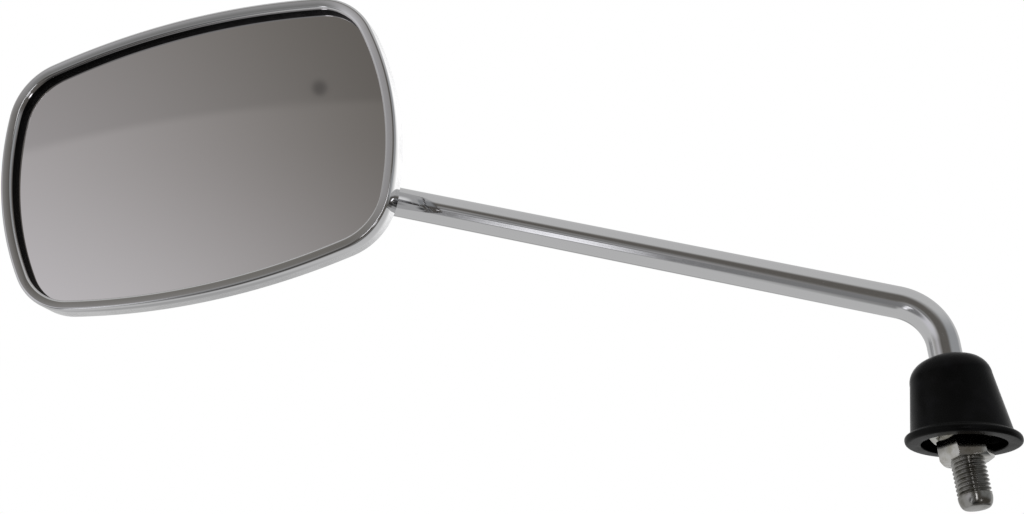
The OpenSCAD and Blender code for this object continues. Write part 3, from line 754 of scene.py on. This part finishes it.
def clamp_outline(inset):
    """The disc and its three lugs, with a hollow round where each lug leaves the disc."""
    disc, lug, hollow = clamp_r - inset, lug_r - inset, blend_r + inset
    to_hollow, from_lug = disc + hollow, lug + hollow
    cosine = (lug_reach ** 2 + to_hollow ** 2 - from_lug ** 2) / (2 * lug_reach * to_hollow)
    spread = math.degrees(math.acos(cosine))
    points = []
    lugs = [mouth_angle + first_lug + lug_step * i for i in range(3)]
    for i, angle in enumerate(lugs):
        turn = Matrix.Rotation(math.radians(angle), 2)
        low = Vector((math.cos(math.radians(-spread)), math.sin(math.radians(-spread)))) * to_hollow
        high = Vector((low.x, -low.y))
        tilt = math.degrees(math.atan2(-low.y, lug_reach - low.x))
        local = arc_points(low, hollow, 180 - spread, tilt, 8)
        local += arc_points((lug_reach, 0), lug, tilt - 180, 180 - tilt, 20)[1:]
        local += arc_points(high, hollow, -tilt, spread - 180, 8)[1:]
        points += [turn @ p for p in local]
        following = lugs[(i + 1) % 3] + (360 if i == 2 else 0)
        points += arc_points((0, 0), disc, angle + spread, following - spread, 24)[1:-1]
    return [p + Vector((ball_offset, 0)) for p in points]


# %% [markdown]
# Each half is a loft of that one outline through a list of levels. Its edges then come out round, as a
# casting's are, and the cup for the ball is part of the same list. The levels near a pole stop one
# degree short of it, and a small cap closes the mesh there.

# %% Levels of a clamp half
near_pole = math.radians(89)


def loft_clamp(name, levels):
    """A casting through levels (inset, depth): a number keeps the outline, a radius makes it round."""
    rings = []
    count = len(clamp_outline(0))
    for kind, size, depth in levels:
        if kind == "outline":
            ring = clamp_outline(size)
        else:
            middle = Vector((ball_offset, 0))
            ring = [middle + (p - middle).normalized() * size for p in clamp_outline(0)]
        rings.append([(p.x, p.y, -depth) for p in ring])
    print(name, "rings:", len(rings), "of", count)
    return rings_mesh(name, rings, loop=False, cap_first=True, cap_last=True)


def rim_round(depth, direction, radius, steps=5):
    """The levels of a rounded edge, from the wall over to a flat end, or back."""
    rows = []
    for i in range(steps + 1):
        a = math.radians(90 * i / steps)
        rows.append(("outline", radius * (1 - math.cos(a)), depth - direction * radius * (1 - math.sin(a))))
    return rows


def cup_levels(face, direction, steps=16):
    """The levels of the cup, from its edge on the split face to its bottom."""
    start = math.asin(abs(ball_depth - face) / cup_r)
    rows = []
    for i in range(steps + 1):
        a = start + (near_pole - start) * i / steps
        rows.append(("round", cup_r * math.cos(a), ball_depth + direction * cup_r * math.sin(a)))
    return rows


# %% [markdown]
# The mouth is a cone along the arm, as wide as the arm swings. It and the screw holes are cut after
# the loft, as the die's cores leave them, because a loft can't open sideways.

# %% Cutters for the mouth and the holes
def mouth_cutter():
    """The cone in which the arm swings."""
    mouth_r, mouth_swing, mouth_length = rod_r + 0.6, 20.0, 60.0
    wide = mouth_r + mouth_length * math.tan(math.radians(mouth_swing))
    cone = lathe_mesh("mouth", [(0, 0), (mouth_r, 0), (wide, mouth_length), (0, mouth_length)], 96)
    turn = arm_in_head.to_track_quat("Z", "Y").to_matrix().to_4x4()
    cone.transform(Matrix.Translation((ball_offset, 0, -ball_depth)) @ turn)
    return cone


def lug_places():
    """The three screw axes, in the head's frame."""
    angles = [math.radians(mouth_angle + first_lug + lug_step * i) for i in range(3)]
    return [Vector((ball_offset + lug_reach * math.cos(a), lug_reach * math.sin(a), 0)) for a in angles]


def hole_cutters(radius, shallow, deep):
    """Three drills, from one depth to another."""
    drills = []
    for place in lug_places():
        drill = lathe_mesh("drill", [(0, -deep), (radius, -deep), (radius, -shallow), (0, -shallow)], 48)
        drill.transform(Matrix.Translation(place))
        drills.append(drill)
    return drills

print("mouth looks", round(mouth_angle, 1), "degrees round the head, lugs", lug_step, "degrees apart")

# %% [markdown]
# The base stands on the housing's flat back and its cup opens backwards. The cap is the same outline
# with a dome over the ball. A gap of 1.4 mm stays between them, so that the screws clamp the ball and
# not each other's castings.
# %% Clamp halves
screw_hole_r = 2.8
base_face, cap_face, cap_back = ball_depth - split_gap / 2, ball_depth + split_gap / 2, 37.0
base_levels = (
    [("outline", 0.3, shell_depth), ("outline", 0.0, shell_depth + 0.3)]
    + rim_round(base_face, 1, 0.5)
    + cup_levels(base_face, -1)
)
base_mesh = loft_clamp("socket_base", base_levels)
base_mesh = cut(base_mesh, [mouth_cutter(), *hole_cutters(screw_hole_r, 5, 45)])
base = keep_mesh("socket_base_cast", base_mesh, clamp_chrome, head_place, 35)

cap_r = cup_r + cap_wall
dome_foot = math.asin((cap_back - ball_depth) / cap_r)
dome_levels = []
dome_ring_steps = 20
for i in range(dome_ring_steps + 1):
    angle = dome_foot + (near_pole - dome_foot) * i / dome_ring_steps
    dome_levels.append(("round", cap_r * math.cos(angle), ball_depth + cap_r * math.sin(angle)))
cap_levels = (
    list(reversed(cup_levels(cap_face, 1)))
    + [("outline", 0.4, cap_face), ("outline", 0.0, cap_face + 0.4)]
    + rim_round(cap_back, 1, 1.2)
    + dome_levels
)
cap_mesh = loft_clamp("socket_cap", cap_levels)
cap_mesh = cut(cap_mesh, [mouth_cutter(), *hole_cutters(screw_hole_r, 25, 45)])
cap = keep_mesh("socket_cap_cast", cap_mesh, clamp_chrome, head_place, 35)
print("clamp faces:", len(base.data.polygons), "and", len(cap.data.polygons))

# %% [markdown]
# A pan head screw is headed cold and its recess is punched by a cross-shaped tool. The same is done
# here: a turned blank, and two tapered blades that cut a cross.

# %% Screw
screw_d, screw_length, spring_t, screw_seat = 5.0, 30.0, 1.3, 38.3
head_r, head_h = 4.5, 3.3
shank_r, tip_bevel = screw_d / 2, 0.6


def screw_mesh():
    """A pan head screw with a cross recess; it points along +z from the seat under its head."""
    crown = rounded([
        (0, -head_h, 0), (head_r * 0.72, -head_h, 1.4), (head_r, -head_h * 0.45, 0.9), (head_r, 0, 0.1),
        (shank_r, 0, 0.1), (shank_r, screw_length - tip_bevel, 0.1),
        (shank_r - tip_bevel, screw_length, 0.1), (0, screw_length, 0),
    ], 6, closed=False)
    half, wing, deep, recess_turn = 0.5, 2.3, 2.0, 20
    mouth = [(wing, half), (-wing, half), (-wing, -half), (wing, -half)]
    rings = [
        [(x, y, -head_h - 0.5) for x, y in mouth],
        [(x * 0.45, y * 0.8, -head_h + deep) for x, y in mouth],
    ]
    blades = []
    for turn in (0, 90):
        blade = rings_mesh("blade", rings, loop=False, cap_first=True, cap_last=True)
        blade.transform(Matrix.Rotation(math.radians(turn + recess_turn), 4, "Z"))
        mend(blade)
        blades.append(blade)
    return cut(lathe_mesh("screw", crown, 64), blades)


# %% [markdown]
# A spring washer is square wire wound once and cut, with its ends a little apart. It is a ring of
# sections that stops short of a full turn.

# %% Spring washer
def washer_mesh():
    """A split spring washer: a square section wound for most of a turn."""
    inner, outer, steps, split = 2.8, 4.5, 72, 8.0
    wire = rounded([(inner, 0, 0.15), (outer, 0, 0.15), (outer, spring_t, 0.15), (inner, spring_t, 0.15)], 2)
    rings = []
    for i in range(steps + 1):
        angle = math.radians(split / 2 + (360 - split) * i / steps)
        rings.append([(p.x * math.cos(angle), p.x * math.sin(angle), p.y) for p in wire])
    return rings_mesh("washer", rings, loop=False, cap_first=True, cap_last=True)


# %% [markdown]
# Three equal screws with their washers hold the clamp. Copies by hand could drift from the holes, so
# Geometry Nodes set one copy on each lug by the same step of angle that the castings use.

# %% Three of each
def copies_tree(name, source, material):
    """Sets a copy of a piece on three places, one step of angle apart round the ball's axis."""
    tree, sizes = start_tree(name, ["Offset", "Reach", "First", "Step", "Level"])
    line = add(tree, "GeometryNodeMeshLine", {"Count": 3})
    index = add(tree, "GeometryNodeInputIndex")
    degrees = add(tree, "ShaderNodeMath", [index, sizes["Step"], sizes["First"]], operation="MULTIPLY_ADD")
    angle = add(tree, "ShaderNodeMath", [degrees], operation="RADIANS")
    cosine = add(tree, "ShaderNodeMath", [angle], operation="COSINE")
    sine = add(tree, "ShaderNodeMath", [angle], operation="SINE")
    x = add(tree, "ShaderNodeMath", [cosine, sizes["Reach"], sizes["Offset"]], operation="MULTIPLY_ADD")
    y = add(tree, "ShaderNodeMath", [sine, sizes["Reach"]], operation="MULTIPLY")
    place = add(tree, "ShaderNodeCombineXYZ", [x, y, sizes["Level"]])
    points = add(tree, "GeometryNodeSetPosition", {0: line, "Position": place})
    turned = add(tree, "ShaderNodeCombineXYZ", {"Z": angle})
    piece = add(tree, "GeometryNodeObjectInfo", [source]).outputs["Geometry"]
    inputs = {"Points": points, "Instance": piece, "Rotation": turned}
    copies = add(tree, "GeometryNodeInstanceOnPoints", inputs)
    end_tree(tree, copies, material)
    return tree


def set_of_three(name, mesh, material, level):
    """Three copies of a mesh on the lugs, as one plain piece."""
    source = in_scene("source", mesh)
    values = {
        "Offset": ball_offset, "Reach": lug_reach, "First": mouth_angle + first_lug,
        "Step": lug_step, "Level": level,
    }
    made = run_tree(name, copies_tree(name, source, material), values)
    bpy.data.objects.remove(source)
    return keep_mesh(name, made, material, head_place, 35)


screws = set_of_three("clamp_screws_pan", screw_mesh(), screw_zinc, -screw_seat)
washers = set_of_three("spring_washers_split", washer_mesh(), screw_zinc, -screw_seat)
print("screw faces:", len(screws.data.polygons), " washer faces:", len(washers.data.polygons))

# %% [markdown]
# The ball is steel, bored for the arm's spigot and ground, with a flat where the bore comes out at
# each end. A plain sphere would close over the bore, so it is turned from its real section.

# %% Ball
ball_end = math.degrees(math.acos(rod_r / ball_r))
ball_arc = arc_points((0, 0), ball_r, -ball_end, ball_end, 40)
ball_section = [Vector((spigot_r, -ball_flat))] + ball_arc + [Vector((spigot_r, ball_flat))]
ball_turn = lean.to_track_quat("Z", "Y").to_matrix().to_4x4()
ball_place = Matrix.Translation(ball_middle) @ ball_turn @ Matrix.Scale(MM, 4)
ball = keep_mesh("arm_ball_ground", lathe_mesh("ball", ball_section, 96), ball_steel, ball_place)
print("ball faces:", len(ball.data.polygons))

# %% [markdown]
# Every new piece rides on the body of the node that it stands for, and that node's own mesh is hidden. The
# other nodes keep their own mesh and get a real finish.

# %% Bodies, nodes and finishes
stand_for = [
    (rim, "head", "rim_bezel"), (gasket, "head", "glass_gasket"), (housing, "head", "housing_shell"),
    (arm, "arm", "arm_rod"), (boot, "boot", "rubber_boot"), (stud, "base", "stem_adapter"),
    (adapter_hex, "base", "stem_adapter"), (adapter_socket, "base", "stem_adapter"),
    (base, "head", "socket_base"), (cap, "head", "socket_cap"), (screws, "head", "clamp_screws"),
    (washers, "head", "spring_washers"), (ball, "arm", "arm_ball"),
]
for piece, body, node in stand_for:
    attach(piece, body)
    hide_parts(node)

node_finish = {
    "mirror_glass": glass_silver, "backing_pad": fibre, "glass_tray": tray_plastic,
    "backing_plate": plain_steel, "weld_nuts": plain_steel, "lock_nut": nut_zinc,
    "lower_washer": nylon, "upper_washer": nylon, "front_liner": nylon, "rear_liner": nylon,
}
for node, material in node_finish.items():
    mesh = frame["nodes"][node].data
    mesh.materials.clear()
    mesh.materials.append(material)
print("pieces made:", len(stand_for), " nodes kept:", len(node_finish))

# %% [markdown]
# The mirror was taken in a light tent: pale cloth on most sides, an opening in front through which
# the camera looks, and a darker room with a lit part on the right. Chrome shows nothing but its
# surroundings. Real walls of cloth would also change the light on the rubber, so the tent is drawn in
# the world instead, by direction, and only for the rays that metal and glass mirror.

# %% Directions in the tent
def direction(azimuth, elevation):
    """A unit vector: azimuth 0 is towards -y and 90 towards +x, and elevation is above the horizon."""
    a, e = math.radians(azimuth), math.radians(elevation)
    return Vector((math.sin(a) * math.cos(e), -math.cos(a) * math.cos(e), math.sin(e)))


world = bpy.data.worlds.new("light_tent")
bpy.context.scene.world = world
world.use_nodes = True
sky = world.node_tree
sky.nodes.clear()
looking = add(sky, "ShaderNodeTexCoord").outputs["Generated"]
east, north, up = add(sky, "ShaderNodeSeparateXYZ", [looking]).outputs
south = add(sky, "ShaderNodeMath", [north, -1.0], operation="MULTIPLY")
turn = add(sky, "ShaderNodeMath", [east, south], operation="ARCTAN2")
azimuth = add(sky, "ShaderNodeMath", [turn], operation="DEGREES")
rise = add(sky, "ShaderNodeMath", [up], operation="ARCSINE")
elevation = add(sky, "ShaderNodeMath", [rise], operation="DEGREES")


def away_from(side, height):
    """The angle, in degrees, between a ray and a direction of the tent."""
    inputs = [looking, direction(side, height)]
    cosine = add(sky, "ShaderNodeVectorMath", inputs, operation="DOT_PRODUCT").outputs["Value"]
    angle = add(sky, "ShaderNodeMath", [cosine], operation="ARCCOSINE")
    return add(sky, "ShaderNodeMath", [angle], operation="DEGREES")


def beside(middle, full, gone):
    """A share that is 1 within some degrees of an azimuth and fades to 0 further out."""
    off = add(sky, "ShaderNodeMath", [azimuth, middle], operation="SUBTRACT")
    off = add(sky, "ShaderNodeMath", [off], operation="ABSOLUTE")
    return add(sky, "ShaderNodeMapRange", [off, full, gone, 1.0, 0.0], **soft)


# %% [markdown]
# The large areas come first: cloth all round, whiter behind, then the opening in front and the room
# on the right. Each fades into the next, because the chrome is never so smooth that a seam shows.

# %% Cloth, opening and room
cloth, white_cloth = linear("#cbcbcb"), [1.25, 1.25, 1.25, 1]
behind = add(sky, "ShaderNodeMapRange", [away_from(177, 25), 4, 28, 1.0, 0.0], **soft)
tent = add(sky, "ShaderNodeMix", {0: behind, 6: cloth, 7: white_cloth}, data_type="RGBA").outputs[2]

above = add(sky, "ShaderNodeMapRange", [elevation, 6, 18], **soft)
below = add(sky, "ShaderNodeMapRange", [elevation, 27, 42, 1.0, 0.0], **soft)
height = add(sky, "ShaderNodeMath", [above, below], operation="MULTIPLY")
opening = add(sky, "ShaderNodeMath", [height, beside(-30, 22, 48)], operation="MULTIPLY")
inputs = {0: opening, 6: tent, 7: linear("#85827c")}
tent = add(sky, "ShaderNodeMix", inputs, data_type="RGBA").outputs[2]

under_ceiling = add(sky, "ShaderNodeMapRange", [elevation, 24, 46, 1.0, 0.0], **soft)
room = add(sky, "ShaderNodeMath", [beside(50, 58, 80), under_ceiling], operation="MULTIPLY")
lit_side = add(sky, "ShaderNodeMapRange", [azimuth, 28, 52], **soft)
lit_above = add(sky, "ShaderNodeMapRange", [elevation, -14, 2], **soft)
lit = add(sky, "ShaderNodeMath", [lit_side, lit_above], operation="MULTIPLY")
inputs = {0: lit, 6: linear("#66635f"), 7: linear("#a2a4a6")}
room_colour = add(sky, "ShaderNodeMix", inputs, data_type="RGBA").outputs[2]
tent = add(sky, "ShaderNodeMix", {0: room, 6: tent, 7: room_colour}, data_type="RGBA").outputs[2]
print("large areas of the tent: cloth, white cloth behind, opening, room")

# %% [markdown]
# Then come the small things that the glass and the chrome show: walls and shades with soft edges, and
# the camera's own lens, a small round spot in the glass. Each is a direction, with the angles within
# which it is full and beyond which it is gone. One faint shade with a curved edge crosses the glass.

# %% Soft places
soft_places = [
    # what it is, azimuth, elevation, full within, gone beyond, colour
    ("white wall at the left", -42, 3, 4, 33, "#dbdadf"),
    ("edge of the opening", -20, 4, 3, 10, "#838382"),
    ("shade in front, low", -33, -22, 13, 25, "#858586"),
    ("floor under the camera", -15, -58, 12, 27, "#3c3c3c"),
    ("shade at the back, left", -158, -6, 5, 15, "#acacac"),
    ("dark floor behind", 148, -42, 10, 34, "#58595a"),
    ("dark corner behind", -100, 28, 5, 22, "#8a8a8b"),
    ("ground", 0, -90, 14, 30, "#6c6a68"),
    ("lens of the camera", -18.3, 19.5, 0.12, 0.38, "#62605e"),
]
for place, side, height, near, far, colour in soft_places:
    share = add(sky, "ShaderNodeMapRange", [away_from(side, height), near, far], **soft)
    tent = add(sky, "ShaderNodeMix", {0: share, 6: linear(colour), 7: tent}, data_type="RGBA").outputs[2]

off = add(sky, "ShaderNodeMath", [azimuth, 20], operation="ADD")
curve = add(sky, "ShaderNodeMath", [off, 2], operation="POWER")
shade_edge = add(sky, "ShaderNodeMath", [curve, 0.012, elevation], operation="MULTIPLY_ADD")
past_edge = add(sky, "ShaderNodeMapRange", [shade_edge, 18.8, 19.2], **soft)
in_glass = add(sky, "ShaderNodeMapRange", [away_from(-22, 19), 9, 14, 0.16, 0.0], **soft)
upper_shade = add(sky, "ShaderNodeMath", [past_edge, in_glass], operation="MULTIPLY")
inputs = {0: upper_shade, 6: tent, 7: [0, 0, 0, 1]}
tent = add(sky, "ShaderNodeMix", inputs, data_type="RGBA").outputs[2]
print("soft places in the tent:", ", ".join(row[0] for row in soft_places))

# %% [markdown]
# The lamps are the bright streaks on the arm and the star on the rim's corner. A long lamp is a row
# of round spots that run into each other, which keeps it as soft as a tube behind cloth.

# %% Lamps of the tent
tent_lamps = [
    # what it is, its spots (azimuth, elevation), full within, gone beyond, brightness
    ("strip lamp", [(-28, -15), (-32, -21), (-37, -27), (-42, -32)], 1.5, 4.5, [1.3, 1.3, 1.35, 1]),
    ("front window", [(7, 6), (7, -2), (6, -10), (5, -18)], 2.5, 6, [2.6, 2.6, 2.7, 1]),
    ("corner lamp", [(38, -31)], 2.5, 6, [2.6, 2.6, 2.7, 1]),
]
for lamp, spots, near, far, glow in tent_lamps:
    for side, height in spots:
        share = add(sky, "ShaderNodeMapRange", [away_from(side, height), near, far], **soft)
        tent = add(sky, "ShaderNodeMix", {0: share, 6: glow, 7: tent}, data_type="RGBA").outputs[2]
print("lamps in the tent:", ", ".join(row[0] for row in tent_lamps))

# %% [markdown]
# Three kinds of ray look at the world. Those that metal and glass mirror see the tent, the camera
# sees plain white behind the object, and all others get an even, pale light. A light path node tells
# them apart, so the background never adds light to the object.

# %% What each ray sees
rays = add(sky, "ShaderNodeLightPath").outputs
inputs = [rays["Is Glossy Ray"], rays["Is Transmission Ray"]]
mirrored = add(sky, "ShaderNodeMath", inputs, operation="MAXIMUM")
light = add(sky, "ShaderNodeBackground", [linear("#e4e4e6"), 1.0])
around = add(sky, "ShaderNodeBackground", [tent, 1.0])
seen = add(sky, "ShaderNodeBackground", [[1, 1, 1, 1], 1.0])
chosen = add(sky, "ShaderNodeMixShader", [mirrored, light, around])
chosen = add(sky, "ShaderNodeMixShader", [rays["Is Camera Ray"], chosen, seen])
add(sky, "ShaderNodeOutputWorld", [chosen])
print("nodes in the world:", len(sky.nodes))

# %% [markdown]
# A pale floor lies well below the object, which its bracket would hold up. It keeps the object's
# shadow in the middle, and fades to plain white further out, so that no horizon shows. The chrome
# doesn't see it, since the photograph's chrome doesn't.

# %% Floor
floor_level, floor_half = -0.24, 3.0
sides = [(-1, -1), (1, -1), (1, 1), (-1, 1)]
floor_points = [(x * floor_half, y * floor_half, floor_level) for x, y in sides]
floor_mesh = bpy.data.meshes.new("floor")
floor_mesh.from_pydata(floor_points, [], [(0, 1, 2, 3)])
floor_material, floor_nodes, floor_shader, floor_where = start_material("pale_floor", "#efefef", 0.0, 0.7)
from_middle = add(floor_nodes, "ShaderNodeVectorMath", [floor_where], operation="LENGTH").outputs["Value"]
fade = add(floor_nodes, "ShaderNodeMapRange", [from_middle, 500, 1600], **soft)
plain_white = add(floor_nodes, "ShaderNodeEmission", [[1, 1, 1, 1], 1.0])
faded = add(floor_nodes, "ShaderNodeMixShader", [fade, floor_shader, plain_white])
fill(floor_nodes.nodes["Material Output"].inputs["Surface"], faded)
floor_mesh.materials.append(floor_material)
floor = in_scene("floor", floor_mesh)
floor.visible_glossy = False
print("floor lies at", floor_level, "m")

# %% [markdown]
# Two large soft lamps, one on each side, give the rubber and the zinc their shading. One lamp would
# leave a side of the boot flat. The chrome doesn't see them, because the tent has its own lamps.

# %% Soft lamps
def soft_lamp(name, azimuth, elevation, distance, size, watts):
    """A square lamp that looks at the middle of the object."""
    data = bpy.data.lights.new(name, "AREA")
    data.size, data.energy = size, watts
    middle = (cad_box[0] + cad_box[1]) / 2
    lamp = in_scene(name, data)
    lamp.location = middle + direction(azimuth, elevation) * distance
    lamp.rotation_euler = (middle - lamp.location).to_track_quat("-Z", "Y").to_euler()
    lamp.visible_glossy = False
    print(name, "lamp:", watts, "W")


soft_lamp("key", -60, 45, 1.2, 0.8, 9)
soft_lamp("fill", 70, 25, 1.4, 1.0, 5)

# %% [markdown]
# The camera stands in front and below, and looks up past the foot of the arm. Its lens is a short
# tele, as a product photograph is taken. Place and turn were fitted to the outline of the head, the
# arm, the hex and the stud, because a view found by eye never fits all four.

# %% Camera
camera_place = Vector((-29.23, -466.17, -130.43)) * MM
view_azimuth, view_elevation, view_roll, lens_mm = -12.08, 24.84, 5.07, 56.25
camera_data = bpy.data.cameras.new("camera")
camera_data.lens, camera_data.sensor_width = lens_mm, 36.0
camera_data.clip_start, camera_data.clip_end = 0.01, 50
camera = in_scene("camera", camera_data)
view_turn, view_rise = math.radians(view_azimuth), math.radians(view_elevation)
ahead = Vector((math.sin(view_turn), math.cos(view_turn), math.tan(view_rise)))
level = ahead.to_track_quat("-Z", "Y")
camera.rotation_mode = "QUATERNION"
camera.rotation_quaternion = level @ Matrix.Rotation(math.radians(-view_roll), 3, "Z").to_quaternion()
camera.location = camera_place
bpy.context.scene.camera = camera
bpy.context.scene.view_settings.view_transform = "Standard"
print("camera at", [round(v, 3) for v in camera.location], " lens", lens_mm, "mm")

# %% [markdown]
# The last cell prints the box of the imported model. A part must not grow by being dressed, so this is the
# box within which the dressed pieces are meant to stay.

# %% Sizes, and the end
print("CAD box:", [[round(v, 4) for v in corner] for corner in cad_box])
